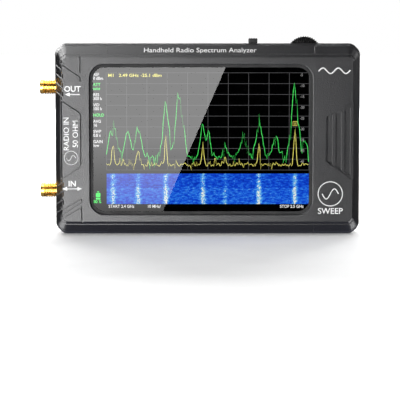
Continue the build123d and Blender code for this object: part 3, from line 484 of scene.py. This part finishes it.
def makeScreenWords():
    # made-up readouts and scales in plain words and numbers: a column of settings, a line above and a line below
    groups = [("litWhite", ("REF", "0 dBm")), ("litGreen", ("ATT", "auto")), ("litWhite", ("RES", "300 k")),
              ("litWhite", ("VID", "100 k")), ("litGreen", ("HOLD",)), ("litWhite", ("AVG", "16")),
              ("litWhite", ("SWP", "0.8 s")), ("litWhite", ("GAIN", "low"))]
    left, foot, head = screen["gridLeft"], screen["footRow"], screen["headRow"]
    # the marker reads the live sweep's tallest signal
    markColumn, markHeight, markWidth = max(liveSignals, key=lambda signal: signal[1])
    markRow = screen["yellowFloor"] - markHeight
    frequency = 2.4 + 0.1 * (markColumn - left) / (screen["columns"] - left)
    level = -5 * (markRow - screen["gridTop"]) / divisionZ
    words = [("litWhite", left + 4, foot, "START 2.4 GHz"), ("litWhite", left + 2 * divisionX, foot, "10 MHz/"),
             ("litWhite", screen["columns"] - 65, foot, "STOP 2.5 GHz"), ("litGreen", 1, screen["chargeRow"], "80 %"),
             ("litYellow", left + 4, head, "M1"), ("litYellow", left + 28, head, f"{frequency:.2f} GHz"),
             ("litYellow", left + 76, head, f"{level:.1f} dBm")]
    row = screen["gridTop"] + 4
    for finish, lines in groups:
        for text in lines:
            words.append((finish, 1, row, text))
            row += screen["linePitch"]
        row += screen["groupPitch"] - screen["linePitch"]
    thickness = screen["layer"]
    y = layerFront(5)
    labels = {finish: [] for finish in ("litWhite", "litGrey", "litGreen", "litYellow")}
    for finish, column, row, text in words:
        x, z = atDot(column, row)
        labels[finish].append(writeWords(text, screen["letter"] * dotZ, x, y, z, thickness, align="LEFT",
                                         bold=screen["bold"], wide=1.2 if finish == "litYellow" else 0.92))
    for index in range(9):
        x, z = atDot(screen["columns"] - 21, screen["gridTop"] + 5 + index * divisionZ)
        labels["litGrey"].append(writeWords(str(-5 * (index + 1)), 5.8 * dotZ, x, y, z, thickness, align="LEFT",
                                            bold=screen["bold"] / 2, wide=0.85))
    # battery mark: an upright cell with two bars
    for row, half, tall in ((277, 2.4, 2.2), (284, 5.0, 9.0), (292, 5.0, 4.0)):
        x, z = atDot(11, row)
        labels["litGreen"].append(flatPlate(2 * half * dotX, tall * dotZ, x, z, y, thickness, 0.2 * mm))
    # the boxed marker over that signal
    x, z = atDot(markColumn, markRow - 8)
    half = 4.5 * dotZ
    labels["litYellow"].append(drawLine([(x - half, z - half), (x - half, z + half), (x + half, z + half),
                                         (x + half, z - half)], 0.2 * mm, y, thickness, closed=True))
    labels["litYellow"].append(writeWords("1", 6 * dotZ, x, y, z, thickness, bold=screen["bold"]))
    for finish, pieces in labels.items():
        finishPiece(joinPieces(pieces), "screen_words_" + finish[3:].lower(), finish)


heldSignals = drawSignals()
liveSignals = [(column, screen["sweepShare"] * height, screen["sweepWidth"])
               for column, height, width in heldSignals[::2]]
makeScreenBack()
makeWaterfall()
makeGrid()
makeTrace("screen_trace_green", heldSignals, screen["greenFloor"], 5.0, 0.16, 4, "litGreen")
makeTrace("screen_trace_yellow", liveSignals, screen["yellowFloor"], 4.0, 0.06, 3, "litYellow")
makeScreenWords()
print("picture made")


# Printing on the case, measured from the jacks, the case's middle and its corners
marks = {
    "thickness": 0.02 * mm, "line": 0.5 * mm, "point": 2.0 * mm, "pointHalf": 0.85 * mm,
    "title": "Handheld Radio Spectrum Analyzer", "titleHeight": 2.5 * mm, "titleX": -3.1 * mm,
    "portX": 7.4 * mm, "uprightX": (5.2 * mm, 8.9 * mm), "upright": 2.2 * mm, "ringX": 7.0 * mm,
    "waveRight": 11.1 * mm, "waveDown": 11.2 * mm, "ringRight": 12.5 * mm, "ringUp": 17.2 * mm, "wordUp": 10.0 * mm,
}


def arrow(x, z, half, heads, y, thickness):
    # a printed arrow; heads lists the ends that carry a point
    shaft = half - marks["point"] / 2
    parts = [drawLine([(x - shaft, z), (x + shaft, z)], marks["line"], y, thickness)]
    for end in heads:
        tip = x + end * half
        tail = tip - end * marks["point"]
        deselectAll()
        bpy.ops.mesh.primitive_circle_add(vertices=3, fill_type="NGON")
        point = bpy.context.object
        corners = [(tip, z), (tail, z + marks["pointHalf"]), (tail, z - marks["pointHalf"])]
        for vertex, (cornerX, cornerZ) in zip(point.data.vertices, corners):
            vertex.co = (cornerX, y, cornerZ)
        bpy.ops.object.mode_set(mode="EDIT")
        bpy.ops.mesh.select_all(action="SELECT")
        bpy.ops.mesh.extrude_region_move(TRANSFORM_OT_translate={"value": (0, thickness, 0)})
        bpy.ops.mesh.select_all(action="SELECT")
        bpy.ops.mesh.normals_make_consistent(inside=False)
        bpy.ops.object.mode_set(mode="OBJECT")
        parts.append(point)
    return parts


def jackHeight(node):
    low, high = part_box(node)
    return (low.z + high.z) / 2


def makePrints():
    thickness = marks["thickness"]
    y = faceY - thickness
    calZ, lowZ = jackHeight("sma_cal_dielectric"), jackHeight("sma_input_dielectric")
    x = caseLeft + marks["portX"]
    parts = [writeWords("OUT", 2.25 * mm, x + 0.3 * mm, y, calZ - 0.75 * mm, thickness, bold=0.07 * mm)]
    parts += arrow(x + 0.8 * mm, calZ - 2.9 * mm, 3.6 * mm, [-1], y, thickness)
    parts.append(writeWords("IN", 2.3 * mm, x, y, lowZ + 3.3 * mm, thickness, bold=0.05 * mm))
    parts += arrow(x, lowZ + 1.3 * mm, 4.1 * mm, [-1, 1], y, thickness)
    # two upright lines of plain words, and a wave in a ring
    for inset, words in zip(marks["uprightX"], ("RADIO IN", "50 OHM")):
        parts.append(writeWords(words, marks["upright"], caseLeft + inset, y, middleZ + 2.4 * mm, thickness, turn=90,
                                bold=0.02 * mm))
    parts += waveMark(caseLeft + marks["ringX"], middleZ - 7.5 * mm, 2.8 * mm, 0.3 * mm, y, thickness)
    # top right: a plain wave; bottom right: a ringed wave over one plain word
    waveX, waveZ = caseRight - marks["waveRight"], caseTop - marks["waveDown"]
    wave = [(waveX + t * 0.5 * mm, waveZ + 1.15 * mm * math.sin(t * 0.5)) for t in range(-13, 14)]
    parts.append(drawLine(wave, 0.55 * mm, y, thickness))
    ringX = caseRight - marks["ringRight"]
    parts += waveMark(ringX, marks["ringUp"], 5.0 * mm, 0.45 * mm, y, thickness)
    parts.append(writeWords("SWEEP", 2.4 * mm, ringX, y, marks["wordUp"], thickness, bold=0.04 * mm))
    finishPiece(joinPieces(parts), "printed_marks", "screenPrintInk")


def waveMark(x, z, radius, line, y, thickness):
    ring = [(x + radius * math.cos(a * math.pi / 24), z + radius * math.sin(a * math.pi / 24)) for a in range(48)]
    wave = [(x + radius * t / 15, z + 0.42 * radius * math.sin(t * math.pi / 10)) for t in range(-10, 11)]
    return [drawLine(ring, line, y, thickness, closed=True), drawLine(wave, line, y, thickness)]


def makeTitle():
    # the title lies in the sunken panel of the top bevel
    bevel = {"faceInset": 5.75 * mm, "shoulderInset": 1.3 * mm, "depth": 4.2 * mm, "panelDepth": 0.25 * mm,
             "along": 2.85 * mm}
    rise = bevel["faceInset"] - bevel["shoulderInset"]
    tilt = math.atan2(rise, bevel["depth"])
    out = marks["thickness"] / 2 - bevel["panelDepth"]
    y = faceY + bevel["along"] - out * math.sin(tilt)
    z = caseTop - bevel["faceInset"] + rise * bevel["along"] / bevel["depth"] + out * math.cos(tilt)
    title = writeWords(marks["title"], marks["titleHeight"], marks["titleX"], y, z, marks["thickness"],
                       tilt=math.degrees(tilt), wide=0.9)
    finishPiece(title, "printed_title", "screenPrintInk")


makePrints()
makeTitle()
print("printing made")


# Coaxial jacks, with real threads in place of the plain cylinders
jack = {
    "crest": 3.175 * mm, "root": 2.62 * mm, "pitch": 25.4 / 36 * mm, "collarRadius": 2.95 * mm, "collar": 1.7 * mm,
    "mouth": 2.3 * mm, "bore": 2.05 * mm, "mouthDepth": 1.95 * mm, "neck": 2.85 * mm, "flange": 2.0 * mm, "steps": 40,
    "leg": 1.0 * mm, "legLength": 4.0 * mm, "legOffset": 2.6 * mm, "relief": 0.2 * mm,
}


def spunPart(profile, z, y, steps):
    # turns a closed profile of (x, radius) once round the jack's axis
    deselectAll()
    bpy.ops.mesh.primitive_circle_add(vertices=len(profile), radius=1)
    part = bpy.context.object
    for vertex, (x, radius) in zip(part.data.vertices, profile):
        vertex.co = (x, 0, radius)
    bpy.ops.object.mode_set(mode="EDIT")
    bpy.ops.mesh.select_all(action="SELECT")
    bpy.ops.mesh.spin(steps=steps, angle=2 * math.pi, center=(0, 0, 0), axis=(1, 0, 0))
    bpy.ops.mesh.select_all(action="SELECT")
    bpy.ops.mesh.remove_doubles(threshold=0.002 * mm)
    bpy.ops.mesh.normals_make_consistent(inside=False)
    bpy.ops.object.mode_set(mode="OBJECT")
    part.location = (0, y, z)
    return part


def threadRidge(start, end, z, y):
    # a closed ridge wound round the barrel at the thread's pitch
    deselectAll()
    pitch = jack["pitch"]
    low, high = jack["root"] - 0.1 * mm, jack["crest"]
    profile = [(0.08 * pitch, low), (0.42 * pitch, high), (0.56 * pitch, high), (0.9 * pitch, low)]
    bpy.ops.mesh.primitive_circle_add(vertices=4, radius=1)
    ridge = bpy.context.object
    for vertex, (x, radius) in zip(ridge.data.vertices, profile):
        vertex.co = (start + x, 0, radius)
    turns = int((end - start) / pitch)
    screw = ridge.modifiers.new("wind", "SCREW")
    screw.axis = "X"
    screw.screw_offset = pitch
    screw.iterations = turns
    screw.steps = jack["steps"]
    screw.render_steps = jack["steps"]
    bpy.ops.object.modifier_apply(modifier="wind")
    bpy.ops.object.mode_set(mode="EDIT")
    bpy.ops.mesh.select_all(action="DESELECT")
    bpy.ops.mesh.select_non_manifold()
    bpy.ops.mesh.edge_face_add()
    bpy.ops.mesh.select_all(action="SELECT")
    bpy.ops.mesh.normals_make_consistent(inside=False)
    bpy.ops.object.mode_set(mode="OBJECT")
    ridge.location = (0, y, z)
    return ridge


def makeJack(node):
    low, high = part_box(node)
    coreLow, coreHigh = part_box(node.replace("body", "dielectric"))
    y, z = (coreLow.y + coreHigh.y) / 2, (coreLow.z + coreHigh.z) / 2
    tip = low.x
    collarEnd = tip + jack["collar"]
    threadEnd = caseLeft - jack["relief"]
    flangeFront = high.x - jack["legLength"] - jack["flange"]
    flangeRear = flangeFront + jack["flange"]
    bevel = 0.22 * mm
    barrel = [
        (tip, jack["mouth"] + 0.12 * mm), (tip, jack["collarRadius"] - bevel),
        (tip + bevel, jack["collarRadius"]), (collarEnd - bevel, jack["collarRadius"]),
        (collarEnd, jack["collarRadius"] - bevel), (collarEnd, jack["root"]),
        (threadEnd, jack["root"]), (threadEnd, jack["neck"]), (flangeFront, jack["neck"]),
        (flangeRear, jack["neck"]), (flangeRear, jack["bore"]),
        (tip + jack["mouthDepth"], jack["bore"]), (tip + jack["mouthDepth"], jack["mouth"]),
        (tip + 0.12 * mm, jack["mouth"]),
    ]
    parts = [spunPart(barrel, z, y, jack["steps"]), threadRidge(collarEnd - 0.3 * mm, threadEnd + 0.5 * mm, z, y)]
    parts.append(jackFlange(flangeFront, flangeRear, y, z))
    body = joinPieces(parts)
    finishPiece(body, node + "_threaded", "turnedGoldPlate")
    bpy.ops.object.shade_smooth_by_angle(angle=math.radians(35))
    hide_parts(node)


def jackFlange(front, rear, y, z):
    # the square flange, with two legs each side of the board
    deselectAll()
    side = 2 * jack["crest"]
    bpy.ops.mesh.primitive_cube_add(size=1, location=((front + rear) / 2, y, z))
    flange = bpy.context.object
    flange.scale = (rear - front, side, side)
    bpy.ops.object.transform_apply(location=True, rotation=True, scale=True)
    bpy.ops.object.mode_set(mode="EDIT")
    bpy.ops.mesh.select_all(action="SELECT")
    bpy.ops.mesh.bevel(offset=0.2 * mm, segments=2, affect="EDGES")
    bpy.ops.object.mode_set(mode="OBJECT")
    boardLow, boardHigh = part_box("main_board")
    parts = [flange]
    for legY in (boardHigh.y + jack["leg"] / 2, boardLow.y - jack["leg"] / 2):
        for side in (-1, 1):
            deselectAll()
            bpy.ops.mesh.primitive_cube_add(size=1, location=(rear + jack["legLength"] / 2, legY,
                                                              z + side * jack["legOffset"]))
            leg = bpy.context.object
            leg.scale = (jack["legLength"], jack["leg"], jack["leg"])
            bpy.ops.object.transform_apply(location=True, rotation=True, scale=True)
            bpy.ops.object.mode_set(mode="EDIT")
            bpy.ops.mesh.bevel(offset=0.1 * mm, segments=1, affect="EDGES")
            bpy.ops.object.mode_set(mode="OBJECT")
            parts.append(leg)
    return joinPieces(parts)


for node in ("sma_input_body", "sma_cal_body"):
    makeJack(node)
print("jacks made")


# Thumbwheel, with bevelled teeth in place of the plain ones
wheel = {"teeth": 46, "notch": 0.4 * mm, "bevel": 0.16 * mm, "bore": 1.55 * mm, "dish": 0.35 * mm, "rim": 1.3 * mm}


def makeWheel():
    radius = (wheelHigh.x - wheelLow.x) / 2
    x, z = (wheelLow.x + wheelHigh.x) / 2, (wheelLow.z + wheelHigh.z) / 2
    count = wheel["teeth"] * 4
    deselectAll()
    bpy.ops.mesh.primitive_circle_add(vertices=count, radius=radius, location=(x, wheelLow.y, z),
                                      rotation=(math.pi / 2, 0, 0))
    disc = bpy.context.object
    bpy.ops.object.transform_apply(location=True, rotation=True, scale=True)
    for index, vertex in enumerate(disc.data.vertices):
        out = Vector((vertex.co.x - x, 0, vertex.co.z - z))
        if index % 4 == 0:
            vertex.co -= out.normalized() * wheel["notch"]
    bpy.ops.mesh.primitive_circle_add(vertices=count, radius=wheel["bore"], location=(x, wheelLow.y, z),
                                      rotation=(math.pi / 2, 0, 0))
    bore = bpy.context.object
    bpy.ops.object.transform_apply(location=True, rotation=True, scale=True)
    disc = joinPieces([disc, bore])
    bpy.ops.object.mode_set(mode="EDIT")
    bpy.ops.mesh.select_all(action="SELECT")
    bpy.ops.mesh.bridge_edge_loops()
    bpy.ops.mesh.select_all(action="SELECT")
    bpy.ops.mesh.extrude_region_move(TRANSFORM_OT_translate={"value": (0, wheelHigh.y - wheelLow.y, 0)})
    bpy.ops.mesh.select_all(action="SELECT")
    bpy.ops.mesh.normals_make_consistent(inside=False)
    # sink a shallow dish into both sides, inside the toothed rim
    for side in (-1, 1):
        selectFaces(disc, lambda centre, normal: normal.y * side > 0.9)
        bpy.ops.mesh.inset(thickness=wheel["rim"])
        bpy.ops.mesh.inset(thickness=0.3 * mm, depth=-wheel["dish"])
    bpy.ops.object.mode_set(mode="OBJECT")
    soften = disc.modifiers.new("soften", "BEVEL")
    soften.width = wheel["bevel"]
    soften.segments = 2
    soften.limit_method = "ANGLE"
    soften.angle_limit = math.radians(50)
    bpy.ops.object.modifier_apply(modifier="soften")
    finishPiece(disc, "thumbwheel", "mouldedNylon", body="jog_wheel")
    bpy.ops.object.shade_smooth_by_angle(angle=math.radians(30))
    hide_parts("jog_wheel")


makeWheel()
print("thumbwheel made")


# Floor, light and camera. A sheen lamp shows only in glossy surfaces; a wash lamp lights only matt ones.
lights = {
    "topSheen": {"place": (-0.32, -0.02, 0.60), "size": (0.55, 0.45), "power": 8.5, "only": "sheen"},
    "leftSheen": {"place": (-0.32, -0.70, -0.13), "size": (0.36, 0.50), "power": 23.0, "only": "sheen"},
    "farLeftSheen": {"place": (-0.85, -0.45, 0.05), "size": (0.18, 0.3), "power": 18.0, "only": "sheen"},
    "cornerHighSheen": {"place": (-0.60, 0.26, 0.60), "size": (0.22, 0.22), "power": 34.0, "only": "sheen"},
    "cornerLowSheen": {"place": (-0.60, 0.26, -0.60), "size": (0.22, 0.22), "power": 18.0, "only": "sheen"},
    "cornerRightSheen": {"place": (0.60, 0.26, -0.60), "size": (0.22, 0.22), "power": 12.0, "only": "sheen"},
    "rightFill": {"place": (0.75, 0.10, 0.30), "size": (0.4, 0.5), "power": 2.5},
    "backSheen": {"place": (-0.2, 0.9, 0.45), "size": (0.9, 0.5), "power": 13.0, "only": "sheen"},
    "backWash": {"place": (0.0, 0.9, 0.45), "size": (1.2, 0.5), "power": 14.0, "only": "wash"},
    "frontWash": {"place": (-0.1, -1.2, 0.14), "size": (0.5, 0.3), "power": 12.0, "only": "wash"},
}


def makeFloor():
    deselectAll()
    bpy.ops.mesh.primitive_plane_add(size=12, location=(0, 0, -0.02 * mm))
    floor = bpy.context.object
    floor.name = "studio_floor"
    material, tree, shader = newShader("floorWithPaintedGlow")
    place = addNode(tree, "ShaderNodeTexCoord")
    tooth = addNode(tree, "ShaderNodeTexNoise", {"Scale": 40.0}, {"Vector": place.outputs["Object"]})
    colour = addNode(tree, "ShaderNodeValToRGB", {}, {"Fac": tooth.outputs["Fac"]})
    setRamp(colour, [(0.3, "#f6f6f6"), (0.7, "#fbfbfb")])
    tree.links.new(colour.outputs["Color"], shader.inputs["Base Color"])
    shader.inputs["Roughness"].default_value = 0.9
    shader.inputs["Specular IOR Level"].default_value = 0.1
    # painted light: the sweep glows more the farther it lies from the object, so that it meets the white background,
    # and the floor next to the object is left darker as a painted shadow
    far = addNode(tree, "ShaderNodeVectorMath", {"operation": "LENGTH"}, {0: place.outputs["Object"]})
    # lift sets the painted glow: 0.05 next to the object, a painted shadow, rising to 1.0 far out
    lift = addNode(tree, "ShaderNodeMapRange", {"From Min": 0.3, "From Max": 1.2, "To Min": 0.05, "To Max": 1.0},
                   {"Value": far.outputs["Value"]})
    tree.links.new(lift.outputs["Result"], shader.inputs["Emission Strength"])
    shader.inputs["Emission Color"].default_value = (1, 1, 1, 1)
    floor.data.materials.append(material)
    floor.visible_glossy = False
    floor.visible_shadow = False


def makeWorld():
    # white behind, soft fill for the matt surfaces, and a shaded room for the glossy ones
    world = bpy.data.worlds.new("studio")
    bpy.context.scene.world = world
    world.use_nodes = True
    tree = world.node_tree
    tree.nodes.clear()
    path = addNode(tree, "ShaderNodeLightPath")
    place = addNode(tree, "ShaderNodeTexCoord")
    split = addNode(tree, "ShaderNodeSeparateXYZ", {}, {"Vector": place.outputs["Generated"]})
    height = addNode(tree, "ShaderNodeMapRange", {"From Min": -1.0, "From Max": 1.0}, {"Value": split.outputs["Z"]})
    room = addNode(tree, "ShaderNodeValToRGB", {}, {"Fac": height.outputs["Result"]})
    setRamp(room, [(0.0, "#7c7f94"), (0.30, "#5c5f6c"), (0.42, "#0a0a0b"), (0.56, "#0a0a0b"), (0.8, "#606064")])
    glossy = addNode(tree, "ShaderNodeBackground", {"Strength": 1.0}, {"Color": room.outputs["Color"]})
    fill = addNode(tree, "ShaderNodeBackground", {"Color": (1, 1, 1, 1), "Strength": 0.62})
    behind = addNode(tree, "ShaderNodeBackground", {"Color": (1, 1, 1, 1), "Strength": 1.0})
    mixGloss = addNode(tree, "ShaderNodeMixShader", {}, {0: path.outputs["Is Diffuse Ray"], 1: glossy.outputs[0],
                                                         2: fill.outputs[0]})
    mixSeen = addNode(tree, "ShaderNodeMixShader", {}, {0: path.outputs["Is Camera Ray"], 1: mixGloss.outputs[0],
                                                        2: behind.outputs[0]})
    addNode(tree, "ShaderNodeOutputWorld", {}, {"Surface": mixSeen.outputs[0]})


def makeLights():
    for name, look in lights.items():
        deselectAll()
        bpy.ops.object.light_add(type="AREA", location=look["place"])
        lamp = bpy.context.object
        lamp.name = name
        lamp.data.shape = "RECTANGLE"
        lamp.data.size, lamp.data.size_y = look["size"]
        # power is given as the brightness of the panel's surface
        lamp.data.energy = look["power"] * math.pi * look["size"][0] * look["size"][1]
        aim = Vector((0, 0, middleZ)) - Vector(look["place"])
        lamp.rotation_euler = aim.to_track_quat("-Z", "Y").to_euler()
        lamp.visible_camera = False
        lamp.visible_diffuse = look.get("only") != "sheen"
        lamp.visible_glossy = look.get("only") != "wash"


def makeGlareCard():
    # a lit card beside the camera; its straight slanted edge is what the glass mirrors
    card = {"y": -0.70, "glow": 2.7}
    corners = [(-0.15, -0.12), (-0.060, -0.12), (0.0245, 0.075), (-0.15, 0.075)]
    deselectAll()
    bpy.ops.mesh.primitive_plane_add(size=1)
    panel = bpy.context.object
    panel.name = "glare_card"
    for vertex, (x, z) in zip(panel.data.vertices, [corners[0], corners[1], corners[3], corners[2]]):
        vertex.co = (x, card["y"], z)
    material, tree, shader = newShader("litCard")
    place = addNode(tree, "ShaderNodeTexCoord")
    split = addNode(tree, "ShaderNodeSeparateXYZ", {}, {"Vector": place.outputs["Object"]})
    fade = addNode(tree, "ShaderNodeMapRange", {"From Min": -0.09, "From Max": -0.005, "To Min": 0.15, "To Max": 1.0},
                   {"Value": split.outputs["Z"]})
    glow = addNode(tree, "ShaderNodeEmission", {}, {"Strength": fade.outputs["Result"]})
    glow.inputs["Color"].default_value = (card["glow"],) * 3 + (1,)
    output = tree.nodes["Material Output"]
    tree.links.new(glow.outputs[0], output.inputs["Surface"])
    panel.data.materials.append(material)
    panel.visible_camera = False
    panel.visible_shadow = False
    panel.visible_diffuse = False


def makeCamera():
    camera = {"distance": 0.597, "lift": 4.0, "lens": 131.0, "shift": (-0.01875, -0.1505)}
    lift = math.radians(camera["lift"])
    aim = Vector((0, faceY, middleZ))
    place = aim + Vector((0, -math.cos(lift), math.sin(lift))) * camera["distance"]
    deselectAll()
    bpy.ops.object.camera_add(location=place, rotation=(math.pi / 2 - lift, 0, 0))
    eye = bpy.context.object
    eye.data.lens = camera["lens"]
    eye.data.sensor_width = 36
    eye.data.shift_x, eye.data.shift_y = camera["shift"]
    eye.data.clip_start = 0.01
    bpy.context.scene.camera = eye


makeFloor()
makeWorld()
makeLights()
makeGlareCard()
makeCamera()
bpy.context.scene.view_settings.view_transform = "Standard"
print("studio made")
